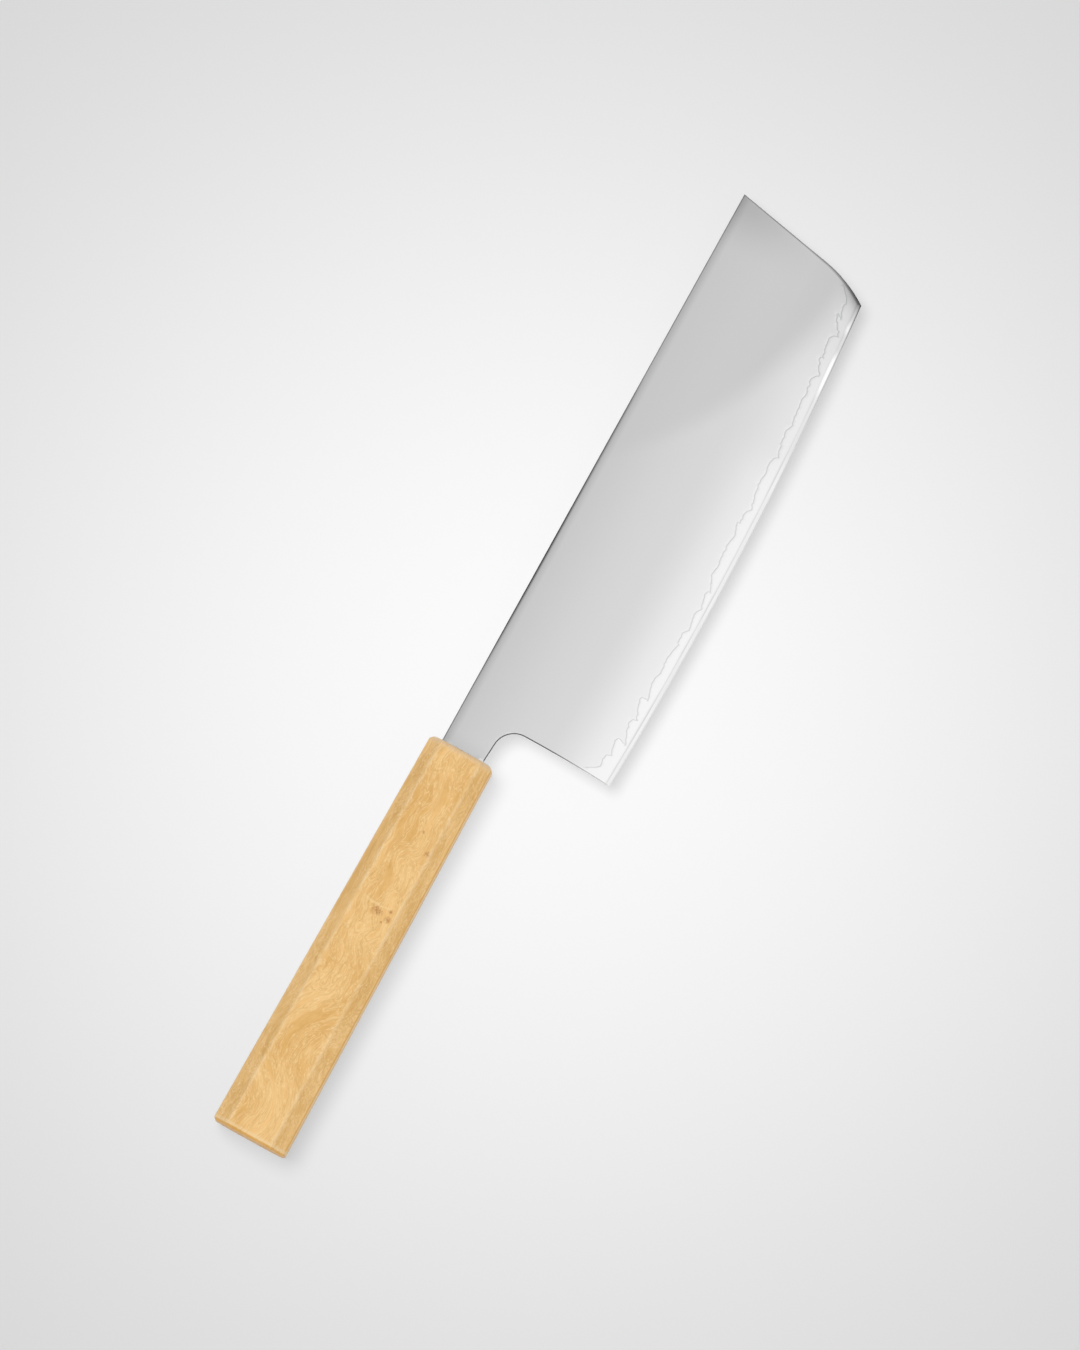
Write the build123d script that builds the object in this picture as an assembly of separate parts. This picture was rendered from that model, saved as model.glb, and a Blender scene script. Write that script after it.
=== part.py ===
from build123d import *
import math
import os

# A nakiri knife: a tall, straight, three-layer blade in a one-piece octagonal wooden handle.
# The knife lies on its left side. +X runs from the butt to the tip, +Y from the edge to the spine,
# and +Z points out of the blade's right face. All sizes are in millimetres.
# The pieces are drawn about the handle's axis, with x = 0 at the handle's front end and z = 0 in the
# middle of the blade's thickness, and are moved at the end, so that the origin is under the middle
# of the whole knife.

# Blade, seen from its side
blade_length = 170.0            # along the spine, from above the heel to the tip
blade_height = 50.0             # from the spine to the lowest point of the edge
spine_offset = 6.97             # the spine's height above the handle's axis
neck_length = 11.8              # from the handle to the heel's corner
neck_height = 13.6              # where it meets the handle
neck_growth = 0.9               # how much taller the neck would be under the choil's corner
choil_radius = 6.5
heel_lean = 0.9                 # how far the top of the heel stands ahead of its corner
heel_bow = 0.2                  # how far the heel's line swells forwards in its middle
edge_radius = 1250.0            # the edge is one long shallow arc
belly_reach = 50.9              # from the heel's corner to the edge's lowest point
tip_lean_angle = 10.9           # the tip's front edge against a square line, in degrees
tip_straight_height = 30.2      # the straight part of the tip, measured down from the spine
tip_curve_radius = 41.0         # the rounded lower part of the tip

# Blade, in cross section
neck_thickness = 2.3            # the sides taper evenly from the handle to the tip
tip_thickness = 1.6
grind_height = 20.0             # the convex grind's top, above the edge
grind_crease_angle = 0.5        # how sharply the grind meets the flat side, in degrees
bevel_height = 1.4              # the sharpened bevel's top, above the edge
bevel_thickness = 0.5           # the blade's thickness there
corner_easing = 0.3             # the rounding of the spine, the neck, the choil and the heel
tip_easing = 0.5                # the rounding of the tip's front

# The three layers: the hard core between two softer claddings, which meet it at a wavy seam
core_thickness = 0.56           # between the claddings; below the seam the core is the whole blade
seam_height = 3.9               # above the edge, on average
seam_start_share = 2.97         # its height just behind the heel, as a share of that
seam_lean = 1.3                 # how far a lobe's crown leans towards the tip, as a share of its rise
seam_lobe_points = 6
# The seam's lobes from the heel to the tip. Each has its length as a share of the blade's, and as
# shares of the seam's height how far its crown rises and how high the dip after it lies.
seam_lobe_shares = [
    (0.0205, 0.00, 1.31), (0.029, 0.26, 1.09), (0.026, 0.49, 0.55), (0.046, 0.49, 0.77),
    (0.038, 0.54, 0.77), (0.052, 0.23, 0.99), (0.052, 0.15, 0.87), (0.035, 0.21, 0.64),
    (0.041, 0.27, 0.62), (0.036, 0.28, 0.69), (0.041, 0.28, 1.08), (0.064, 0.14, 1.05),
    (0.021, 0.21, 1.10), (0.030, 0.18, 0.85), (0.066, 0.23, 1.08), (0.035, 0.24, 0.79),
    (0.061, 0.28, 0.91), (0.058, 0.15, 0.97), (0.036, 0.31, 0.68), (0.032, 0.31, 1.00),
    (0.042, 0.40, 0.62), (0.030, 0.62, 0.94), (0.028, 0.22, 1.04), (0.0400, 0.05, 2.29),
]

# Tang, hidden in the handle
tang_length = 82.0
tang_root_height = 8.4
tang_end_height = 5.6
tang_thickness = 2.0

# Handle
handle_length = 128.3
handle_front_height = 20.6
handle_front_thickness = 17.8
handle_front_bevel = 3.65       # each leg of the octagon's corner facets
handle_butt_height = 23.4
handle_butt_thickness = 20.2
handle_butt_bevel = 4.5
front_chamfer = 1.5             # the eased front end
handle_corner_radius = 0.8      # on the long corners and round the front end
butt_chamfer = 0.7

# Bore, dowel, adhesive and seal
bore_diameter = 11.0
bore_point_angle = 59.0         # half the angle of the drill's point, in degrees
dowel_clearance = 0.1           # the glue line round the dowel
slot_clearance = 0.3            # the adhesive's thickness round the tang
slot_end_gap = 2.0              # the adhesive beyond the tang's end
dowel_end_wall = 7.0            # the dowel's solid end beyond the slot
dowel_end_gap = 1.0             # between the dowel's end and the bore's
seal_depth = 1.5

overrun = 5.0                   # how far cutting shapes reach past what they cut
section_count = 9               # cross sections along the blade

# Sizes that follow from the ones above
heel_x = neck_length
tip_x = heel_x + blade_length
belly_x = heel_x + belly_reach
lowest_y = spine_offset - blade_height
butt_x = -handle_length
widest_x = butt_x + butt_chamfer
bore_depth = tang_length + slot_end_gap + dowel_end_wall + dowel_end_gap


def edge_y(x):
    """The height of the cutting edge at x."""
    return lowest_y + edge_radius - math.sqrt(edge_radius ** 2 - (x - belly_x) ** 2)


def half_thickness(x):
    """Half the blade's thickness above the grind."""
    return (neck_thickness + (tip_thickness - neck_thickness) * x / tip_x) / 2


def seam_points():
    """The seam from just behind the heel to just ahead of the tip: lobes with dips between them."""
    points = []
    start = heel_x
    dip = seam_height * seam_start_share
    for length_share, rise_share, dip_share in seam_lobe_shares:
        length = blade_length * length_share
        next_dip = seam_height * dip_share
        for number in range(seam_lobe_points):
            along = number / seam_lobe_points
            x = start + length * along
            crown = seam_height * rise_share * math.sin(math.pi * along)
            height = dip + (next_dip - dip) * along + crown
            points.append((x + seam_lean * crown, edge_y(x) + height))
        start += length
        dip = next_dip
    return points + [(start, edge_y(start) + dip)]


def grind_section(x):
    """A section of the space that the grind leaves: open above, convex below, with a sharp bevel."""
    full = half_thickness(x)
    shoulder = bevel_thickness / 2
    width = grind_height - bevel_height
    crease = math.radians(grind_crease_angle)
    half_turn = math.atan2(full - shoulder, width) - crease
    radius = math.hypot(width, full - shoulder) / 2 / math.sin(half_turn)
    edge = edge_y(x)
    crest_y = edge + grind_height + radius * math.sin(crease)
    crest = full + radius * (1 - math.cos(crease))
    bevel_y = edge + bevel_height
    waist_y = (crest_y + bevel_y) / 2
    waist = crest - radius + math.sqrt(radius ** 2 - (crest_y - waist_y) ** 2)
    top_y = spine_offset + overrun
    wide = full + overrun
    lines = [
        Line((x, top_y, -wide), (x, top_y, wide)),
        Line((x, top_y, wide), (x, crest_y, wide)),
        Line((x, crest_y, wide), (x, crest_y, crest)),
        ThreePointArc((x, crest_y, crest), (x, waist_y, waist), (x, bevel_y, shoulder)),
        Line((x, bevel_y, shoulder), (x, edge, 0)),
        Line((x, edge, 0), (x, bevel_y, -shoulder)),
        ThreePointArc((x, bevel_y, -shoulder), (x, waist_y, -waist), (x, crest_y, -crest)),
        Line((x, crest_y, -crest), (x, crest_y, -wide)),
        Line((x, crest_y, -wide), (x, top_y, -wide)),
    ]
    return make_face(lines)


def blade_outline():
    """The blade and its neck from the side, left open below the cutting edge."""
    lean = math.radians(tip_lean_angle)
    below = lowest_y - overrun
    tip_top = Vector(tip_x, spine_offset)
    straight_end = tip_top - Vector(math.tan(lean), 1) * tip_straight_height
    centre = straight_end - Vector(math.cos(lean), -math.sin(lean)) * tip_curve_radius
    turn = lean + (spine_offset - tip_straight_height - edge_y(tip_x)) / tip_curve_radius
    arc_end = centre + Vector(math.cos(turn), -math.sin(turn)) * tip_curve_radius
    arc_middle_turn = (lean + turn) / 2
    arc_middle = centre + Vector(math.cos(arc_middle_turn), -math.sin(arc_middle_turn)) * tip_curve_radius
    fall = (arc_end.Y - below) / math.cos(turn)
    tip_bottom = arc_end - Vector(math.sin(turn), math.cos(turn)) * fall
    heel_corner = Vector(heel_x, edge_y(heel_x))
    choil_corner = Vector(heel_x + heel_lean, spine_offset - neck_height - neck_growth)
    heel_middle = (heel_corner + choil_corner) / 2 + Vector(heel_bow, 0)
    heel_bottom = Vector(heel_x, below)
    neck_top = Vector(0, spine_offset)
    neck_bottom = Vector(0, spine_offset - neck_height)
    lines = [
        Line(neck_top, tip_top),
        Line(tip_top, straight_end),
        ThreePointArc(straight_end, arc_middle, arc_end),
        Line(arc_end, tip_bottom),
        Line(tip_bottom, heel_bottom),
        Line(heel_bottom, heel_corner),
        ThreePointArc(heel_corner, heel_middle, choil_corner),
        Line(choil_corner, neck_bottom),
        Line(neck_bottom, neck_top),
    ]
    face = make_face(lines)
    corner = face.vertices().sort_by_distance(choil_corner)[0]
    return fillet(corner, choil_radius)


def tapered_bar(start, length, start_height, end_height, thickness):
    """A flat bar on the handle's axis that runs from start towards the butt."""
    corners = [
        (start, start_height / 2),
        (start, -start_height / 2),
        (start - length, -end_height / 2),
        (start - length, end_height / 2),
    ]
    return extrude(Polygon(corners, align=None), thickness / 2, both=True)


def make_tang():
    return tapered_bar(0, tang_length, tang_root_height, tang_end_height, tang_thickness)


def tapered_plate():
    """The blade and its neck as a plate that gets thinner towards the tip, with square corners."""
    first = -overrun
    last = tip_x + overrun
    corners = [
        (first, -half_thickness(first)),
        (last, -half_thickness(last)),
        (last, half_thickness(last)),
        (first, half_thickness(first)),
    ]
    sheet = extrude(Plane.XZ * Polygon(corners, align=None), 2 * blade_height, both=True)
    return sheet & extrude(blade_outline(), overrun, both=True)


def side_corners(plate):
    """The edges round the plate's two sides, without its end at the handle and its open bottom."""
    chosen = []
    for edge in plate.edges():
        middle = edge.position_at(0.5)
        across = abs(edge.position_at(0).Z - edge.position_at(1).Z)
        if across < tip_thickness / 2 and middle.X > corner_easing and middle.Y > lowest_y - overrun / 2:
            chosen.append(edge)
    return chosen


def make_blade():
    """The whole blade with its neck and tang, before it is parted into its layers."""
    plate = tapered_plate()
    front_x = tip_x - blade_height / 2
    tip_corners = [edge for edge in side_corners(plate) if edge.position_at(0.5).X > front_x]
    plate = fillet(tip_corners, tip_easing)
    other_corners = [edge for edge in side_corners(plate) if edge.position_at(0.5).X < front_x]
    plate = fillet(other_corners, corner_easing)
    first = -overrun
    pitch = (tip_x + overrun - first) / (section_count - 1)
    grind = loft([grind_section(first + pitch * number) for number in range(section_count)])
    return (plate & grind) + make_tang()


def core_space():
    """The space of the core: a slab between the claddings, and all that lies below the seam."""
    first = heel_x - overrun
    last = tip_x + overrun
    below = lowest_y - overrun
    seam = seam_points()
    ends = [(last, seam[-1][1]), (last, below), (first, below), (first, seam[0][1])]
    under_seam = extrude(make_face(Polyline(*seam, *ends, close=True)), overrun, both=True)
    slab_length = tip_x + tang_length + 2 * overrun
    slab_middle = (tip_x - tang_length) / 2
    slab = Pos(slab_middle, 0, 0) * Box(slab_length, 3 * blade_height, core_thickness)
    return slab + under_seam


def part_layers(blade):
    """Parts the blade into its core and its right and left claddings."""
    space = core_space()
    outer = (blade - space).solids().sort_by(Axis.Z)
    return blade & space, outer[-1], outer[0]


def taper(front, butt, x):
    """A size of the handle at x, between its value at the front end and at the butt."""
    return front + (butt - front) * -x / handle_length


def octagon_corners(x):
    """The corners of the handle's octagon at x, in order round it."""
    tall = taper(handle_front_height, handle_butt_height, x) / 2
    thick = taper(handle_front_thickness, handle_butt_thickness, x) / 2
    leg = taper(handle_front_bevel, handle_butt_bevel, x)
    return [
        Vector(x, tall - leg, thick),
        Vector(x, tall, thick - leg),
        Vector(x, tall, leg - thick),
        Vector(x, tall - leg, -thick),
        Vector(x, leg - tall, -thick),
        Vector(x, -tall, leg - thick),
        Vector(x, -tall, thick - leg),
        Vector(x, leg - tall, thick),
    ]


def planed_blank():
    """A square length of wood with its eight tapered facets planed, as the maker planes them."""
    blank = Pos(butt_x / 2, 0, 0) * Box(handle_length, 2 * handle_butt_height, 2 * handle_butt_thickness)
    front = octagon_corners(0)
    butt = octagon_corners(butt_x)
    for number, corner in enumerate(front):
        across = corner - front[number - 1]
        along = corner - butt[number]
        facet = Plane(origin=corner, x_dir=across, z_dir=along.cross(across))
        blank = split(blank, bisect_by=facet, keep=Keep.BOTTOM)
    return blank


def end_corners(body, x):
    """The edges round the end face at x."""
    return [edge for edge in body.edges() if abs(edge.center().X - x) < butt_chamfer / 2]


def make_handle():
    """One piece of wood: tapered, with an eased front end, a chamfered butt and a blind bore."""
    body = planed_blank()
    body = chamfer(end_corners(body, 0), front_chamfer)
    butt = end_corners(body, butt_x)
    body = fillet([edge for edge in body.edges() if edge not in butt], handle_corner_radius)
    body = chamfer(end_corners(body, butt_x), butt_chamfer)
    return body - bore_space()


def bore_space():
    """The blind bore with its drill point."""
    radius = bore_diameter / 2
    point = radius / math.tan(math.radians(bore_point_angle))
    profile = [(0, overrun), (radius, overrun), (radius, -bore_depth), (0, -bore_depth - point)]
    sketch = Plane.XY * Polygon(profile, align=None)
    turned = revolve(sketch, Axis.Y)
    return Rot(0, 0, -90) * turned


def slot_space():
    """The tapered slot in the dowel, as wide all round as the adhesive needs."""
    side = 2 * slot_clearance
    length = tang_length + slot_end_gap - seal_depth
    root = tang_root_height + side
    end = tang_end_height + side
    return tapered_bar(-seal_depth, length, root, end, tang_thickness + side)


def make_dowel_half(side):
    """Half of the slotted dowel: side is 1 for the right half and -1 for the left."""
    radius = bore_diameter / 2 - dowel_clearance
    length = bore_depth - dowel_end_gap - seal_depth
    rod = Pos(-seal_depth - length / 2, 0, 0) * Rot(0, 90, 0) * Cylinder(radius, length)
    half_block = Box(2 * bore_depth, bore_diameter, bore_diameter)
    half_space = Pos(-bore_depth / 2, 0, side * bore_diameter / 2) * half_block
    return (rod & half_space) - slot_space()


def make_tang_epoxy(tang):
    return slot_space() - tang


def make_mouth_seal(tang):
    """The disc of cured sealer in the mouth of the bore, flush with the wood."""
    disc = Pos(-seal_depth / 2, 0, 0) * Rot(0, 90, 0) * Cylinder(bore_diameter / 2, seal_depth)
    return disc - tang


def main():
    os.makedirs("parts", exist_ok=True)
    core, right, left = part_layers(make_blade())
    tang = make_tang()
    pieces = {
        "core_steel": core,
        "cladding_right": right,
        "cladding_left": left,
        "handle_body": make_handle(),
        "dowel_right": make_dowel_half(1),
        "dowel_left": make_dowel_half(-1),
        "tang_epoxy": make_tang_epoxy(tang),
        "mouth_seal": make_mouth_seal(tang),
    }
    highest_y = taper(handle_front_height, handle_butt_height, widest_x) / 2
    bottom_z = -taper(handle_front_thickness, handle_butt_thickness, widest_x) / 2
    origin = Pos(-(butt_x + tip_x) / 2, -(highest_y + lowest_y) / 2, -bottom_z)
    for name, piece in pieces.items():
        export_step(origin * piece, f"parts/{name}.step")
        print(name, round(piece.volume, 1))


main()
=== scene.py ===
# %% [markdown]
# # A nakiri knife, dressed in Blender
# The frame is the knife as it was drawn for the workshop: solids at their true size, which stay where
# they are. This lesson gives them the look of the real thing. The handle is grown again by Geometry
# Nodes, the blade is laid again as a fine mesh, and every surface gets a finish made of nodes.

# %% The frame
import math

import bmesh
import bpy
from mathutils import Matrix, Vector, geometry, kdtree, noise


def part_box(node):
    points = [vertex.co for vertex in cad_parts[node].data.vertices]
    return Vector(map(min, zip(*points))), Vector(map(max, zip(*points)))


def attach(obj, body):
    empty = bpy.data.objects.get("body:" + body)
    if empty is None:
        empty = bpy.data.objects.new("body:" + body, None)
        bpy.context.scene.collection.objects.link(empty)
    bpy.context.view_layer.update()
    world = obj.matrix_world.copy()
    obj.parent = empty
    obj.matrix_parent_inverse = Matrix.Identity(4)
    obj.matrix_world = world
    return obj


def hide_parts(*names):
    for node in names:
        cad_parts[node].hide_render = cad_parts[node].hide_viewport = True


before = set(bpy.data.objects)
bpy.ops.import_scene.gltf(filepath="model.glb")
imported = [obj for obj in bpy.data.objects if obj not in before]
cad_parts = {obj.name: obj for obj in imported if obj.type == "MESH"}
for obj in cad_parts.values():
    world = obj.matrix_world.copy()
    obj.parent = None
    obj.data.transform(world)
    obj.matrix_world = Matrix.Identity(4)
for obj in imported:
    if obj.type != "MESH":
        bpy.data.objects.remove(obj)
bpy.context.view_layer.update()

# %% [markdown]
# ## Where things are
# All sizes below are the knife's own, in millimetres, and are laid out from the middle of the handle's
# front end: x forwards along the handle's axis, y up to the spine, z out of the right side. Blender
# works in metres, so one function moves a point of the knife into the frame.

millimetre = 0.001
handle_low, handle_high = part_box("handle_body")
core_low, core_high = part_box("core_steel")
front_centre = Vector((
    handle_high.x,
    (handle_low.y + handle_high.y) / 2,
    (core_low.z + core_high.z) / 2,
))


def place(x, y, z):
    """A point of the knife, in millimetres from the handle's front centre, as a point of the frame."""
    return front_centre + Vector((x, y, z)) * millimetre


def put(name, data):
    """A new object at the frame's origin."""
    made = bpy.data.objects.new(name, data)
    bpy.context.collection.objects.link(made)
    return made


print("the handle's front centre is at", [round(value / millimetre, 2) for value in front_centre], "mm")

# %% [markdown]
# ## Short names for nodes
# A finish is a small graph, and most of its nodes only add or multiply. So what comes out of a node is
# kept as a wire, and a sum or product of wires puts the Math nodes behind them. A material below then
# reads as a recipe and a formula as a formula, where linking each socket by hand would hide both.

# %% Wires between nodes
class Wire:
    """What comes out of a node. A sum or product of wires is a wire out of a Math node."""

    def __init__(self, socket):
        self.socket = socket

    def __add__(self, other):
        return calc("ADD", self, other)

    __radd__ = __add__

    def __sub__(self, other):
        return calc("SUBTRACT", self, other)

    def __rsub__(self, other):
        return calc("SUBTRACT", other, self)

    def __mul__(self, other):
        return calc("MULTIPLY", self, other)

    def __truediv__(self, other):
        return calc("DIVIDE", self, other)


def join(value, socket):
    """Links a wire to the socket, or sets a plain value there."""
    if isinstance(value, Wire):
        socket.id_data.links.new(value.socket, socket)
    else:
        socket.default_value = value


def node(tree, kind, inputs=None, output=0, **settings):
    """Makes a node, sets its options and inputs, and gives back one of its outputs."""
    made = tree.nodes.new(kind)
    for name, value in settings.items():
        setattr(made, name, value)
    for name, value in (inputs or {}).items():
        join(value, made.inputs[name])
    return Wire(made.outputs[output])


def tree_under(*values):
    """The node tree of the first wire among the values."""
    return next(value.socket.id_data for value in values if isinstance(value, Wire))


def calc(operation, *values):
    """A Math node."""
    return node(tree_under(*values), "ShaderNodeMath", dict(enumerate(values)), operation=operation)


def vector_calc(operation, first, second):
    """A Vector Math node."""
    inputs = {0: first, "Scale" if operation == "SCALE" else 1: second}
    output = "Value" if operation == "DISTANCE" else "Vector"
    return node(tree_under(first, second), "ShaderNodeVectorMath", inputs, output, operation=operation)


def split(vector):
    """The x, y and z of a vector."""
    made = tree_under(vector).nodes.new("ShaderNodeSeparateXYZ")
    join(vector, made.inputs[0])
    return [Wire(socket) for socket in made.outputs]


def gather(x, y, z):
    """A vector or a colour from three numbers."""
    return node(tree_under(x, y, z), "ShaderNodeCombineXYZ", {"X": x, "Y": y, "Z": z})


print("wires between nodes are ready")

# %% Ramps, mixes and noise
def ramp(factor, *stops, smooth=True):
    """A colour ramp. Each stop is a place from 0 to 1 and a grey or a colour."""
    made = tree_under(factor).nodes.new("ShaderNodeValToRGB")
    made.color_ramp.interpolation = "EASE" if smooth else "LINEAR"
    elements = made.color_ramp.elements
    while len(elements) < len(stops):
        elements.new(1)
    for element, (where, colour) in zip(elements, stops):
        element.position = where
        element.color = (*(colour if isinstance(colour, tuple) else (colour,) * 3), 1)
    join(factor, made.inputs["Fac"])
    return Wire(made.outputs["Color"])


def blend(factor, first, second, how="MIX", kind="RGBA"):
    """Mixes two colours, or two places if the kind is VECTOR."""
    inputs = {"Factor": factor, "A": first, "B": second}
    tree = tree_under(factor, first, second)
    return node(tree, "ShaderNodeMix", inputs, "Result", data_type=kind, blend_type=how)


def cloud(vector, scale, detail=3.0, roughness=0.5, distortion=0.0, output="Fac"):
    """A noise texture."""
    names = ("Vector", "Scale", "Detail", "Roughness", "Distortion")
    inputs = dict(zip(names, (vector, scale, detail, roughness, distortion)))
    return node(tree_under(vector), "ShaderNodeTexNoise", inputs, output)


def bell(share):
    """1 in the middle, falling softly to nothing a few shares away."""
    return calc("EXPONENT", calc("POWER", share, 2) * -1)


def flat_distance(where, centre):
    """How far a point is from a place on the knife, seen from above."""
    return vector_calc("DISTANCE", vector_calc("MULTIPLY", where, (1.0, 1.0, 0.0)), (*centre, 0))


def new_material(name):
    """A material, its coordinates in millimetres from the handle's front centre, and its shader's inputs."""
    material = bpy.data.materials.new(name)
    material.use_nodes = True
    tree = material.node_tree
    where = node(tree, "ShaderNodeTexCoord", output="Object")
    where = vector_calc("SCALE", vector_calc("SUBTRACT", where, front_centre), 1 / millimetre)
    return material, where, tree.nodes["Principled BSDF"].inputs


def mark(where, name):
    """The number that a mesh carries under this name, at the points of a material."""
    return node(tree_under(where), "ShaderNodeAttribute", output="Fac", attribute_name=name)


def roughen(surface, height, strength, depth):
    """Gives a shader the fine relief that a height draws."""
    inputs = {"Strength": strength, "Distance": depth, "Height": height}
    join(node(tree_under(height), "ShaderNodeBump", inputs), surface["Normal"])


print("ramps, mixes and noise are ready")

# %% [markdown]
# ## The blade's sizes
# The blade is a tall plate that gets thinner towards the tip. Its lower 20 mm are ground convex, and
# the last 1.4 mm are the sharpened bevel. These are the sizes that the drawing of the knife gives.

# %% Sizes of the blade
blade_length = 170.0
blade_height = 50.0
spine_y = 6.97
neck_length = 11.8
neck_height = 13.6
neck_growth = 0.9
choil_radius = 6.5
heel_lean = 0.9
heel_bow = 0.2
edge_radius = 1250.0
belly_reach = 50.9
tip_lean = math.radians(10.9)
tip_straight = 30.2
tip_radius = 41.0
neck_thickness = 2.3
tip_thickness = 1.6
core_thickness = 0.56
grind_height = 20.0
grind_slope = math.tan(math.radians(0.5))       # how steep the side is where the grind begins
bevel_height = 1.4
bevel_thickness = 0.5
corner_easing = 0.35
tip_easing = 0.4
tip_easing_growth = 0.7         # how much wider the eased strip gets down the tip
tang_length = 82.0
tang_root_height = 8.4
tang_end_height = 5.6
tang_thickness = 2.0

heel_x = neck_length
tip_x = heel_x + blade_length
belly_x = heel_x + belly_reach
lowest_y = spine_y - blade_height
neck_bottom_y = spine_y - neck_height


def edge_y(x):
    """The height of the cutting edge at x: one long shallow arc."""
    return lowest_y + edge_radius - math.sqrt(edge_radius ** 2 - (x - belly_x) ** 2)


def side_height(x, y):
    """How far the blade's side stands out from its middle plane at x and y."""
    if x < 0:
        return tang_thickness / 2
    full = (neck_thickness + (tip_thickness - neck_thickness) * x / tip_x) / 2
    above_edge = y - edge_y(x)
    flat_height = spine_y - edge_y(x) - grind_height
    grind_top = full - grind_slope * flat_height / 2
    if above_edge >= grind_height:
        left = max(spine_y - y, 0)
        return full - grind_slope / 2 / flat_height * left ** 2
    if above_edge <= bevel_height:
        return bevel_thickness / 2 * max(above_edge, 0) / bevel_height
    span = grind_height - bevel_height
    bend = (grind_top - grind_slope * span - bevel_thickness / 2) / span ** 2
    down = grind_height - above_edge
    return grind_top - grind_slope * down - bend * down ** 2


print("the blade is", blade_length, "by", blade_height, "mm")

# %% [markdown]
# ## The seam
# Soft steel clads a hard core on both sides. The smith's hammer leaves the border between them wavy, and
# grinding bares it as a fine line a few millimetres above the edge. It could be painted on, but here it
# is a real border: the two steels are separate pieces, and the seam is the line where their meshes
# meet. It is drawn lobe by lobe. Each lobe leans towards the tip, so a tall one hangs over the dip
# after it, as layers do.

# %% The seam between the two steels
seam_height = 3.9               # above the edge, on average
seam_start_share = 2.97         # its height just behind the heel, as a share of that
seam_lean = 1.3                 # how far a crown leans towards the tip, as a share of its rise
# Each lobe from the heel to the tip: its length as a share of the blade's, and as shares of the seam's
# height how far its crown rises and how high the dip after it lies
seam_lobe_shares = [
    (0.0205, 0.00, 1.31), (0.029, 0.26, 1.09), (0.026, 0.49, 0.55), (0.046, 0.49, 0.77),
    (0.038, 0.54, 0.77), (0.052, 0.23, 0.99), (0.052, 0.15, 0.87), (0.035, 0.21, 0.64),
    (0.041, 0.27, 0.62), (0.036, 0.28, 0.69), (0.041, 0.28, 1.08), (0.064, 0.14, 1.05),
    (0.021, 0.21, 1.10), (0.030, 0.18, 0.85), (0.066, 0.23, 1.08), (0.035, 0.24, 0.79),
    (0.061, 0.28, 0.91), (0.058, 0.15, 0.97), (0.036, 0.31, 0.68), (0.032, 0.31, 1.00),
    (0.042, 0.40, 0.62), (0.030, 0.62, 0.94), (0.028, 0.22, 1.04), (0.0400, 0.05, 2.29),
]
seam_step = 0.35                # between two points of the line
wrinkle_length = 1.1            # the small wrinkles on top of the lobes
wrinkle_height = 0.55
noise.seed_set(8)               # the same wrinkles each time


def seam_points():
    """The seam from just behind the heel to just ahead of the tip."""
    points = []
    start = heel_x
    dip = seam_height * seam_start_share
    for length_share, rise_share, dip_share in seam_lobe_shares:
        length = blade_length * length_share
        rise = seam_height * rise_share
        next_dip = seam_height * dip_share
        count = max(6, round((length + 2 * rise) / seam_step))
        for number in range(count):
            along = number / count
            crown = rise * math.sin(math.pi * along)
            x = start + length * along
            y = edge_y(x) + dip + (next_dip - dip) * along + crown
            wrinkle = noise.noise_vector(Vector(((x + 3 * crown) / wrinkle_length, 0, 0)))
            points.append(Vector((x + seam_lean * crown, y)) + wrinkle.xy * wrinkle_height)
        start += length
        dip = next_dip
    return points


whole_seam = seam_points()
print("the seam has", len(seam_lobe_shares), "lobes and", len(whole_seam), "points")

# %% [markdown]
# ## The blade's outline
# A maker cuts the blade from a template: a straight spine, a leaning tip that rounds into the edge, a
# nearly straight heel, and a smooth choil up to the neck. Each stretch is a line or an arc, sampled
# just closely enough to look smooth, so the template is a handful of formulas and not a list of points.

# %% The outline as lines and arcs
outline_step = 0.8
arc_step = math.radians(6)
fine_arc_step = math.radians(1)
search_step = math.radians(0.02)


def line_points(start, end, step=outline_step):
    """Points from start towards end, without end itself."""
    count = max(1, round((end - start).length / step))
    return [start.lerp(end, number / count) for number in range(count)]


def arc_points(centre, radius, first, last, step=arc_step):
    """Points round centre, from the angle first to the angle last, without the last one."""
    count = max(2, round(abs(last - first) / step))
    angles = [first + (last - first) * number / count for number in range(count)]
    return [centre + Vector((math.cos(angle), math.sin(angle))) * radius for angle in angles]


tip_top = Vector((tip_x, spine_y))
tip_straight_end = tip_top - Vector((math.tan(tip_lean), 1)) * tip_straight
tip_centre = tip_straight_end - Vector((math.cos(tip_lean), -math.sin(tip_lean))) * tip_radius


def tip_front():
    """The tip's front from its top corner down to where it meets the cutting edge."""
    last = -tip_lean
    end = tip_straight_end
    while end.y > edge_y(end.x):
        last -= search_step
        end = tip_centre + Vector((math.cos(last), math.sin(last))) * tip_radius
    rounding = arc_points(tip_centre, tip_radius, -tip_lean, last, fine_arc_step)
    return line_points(tip_top, tip_straight_end) + rounding + [end]


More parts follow.
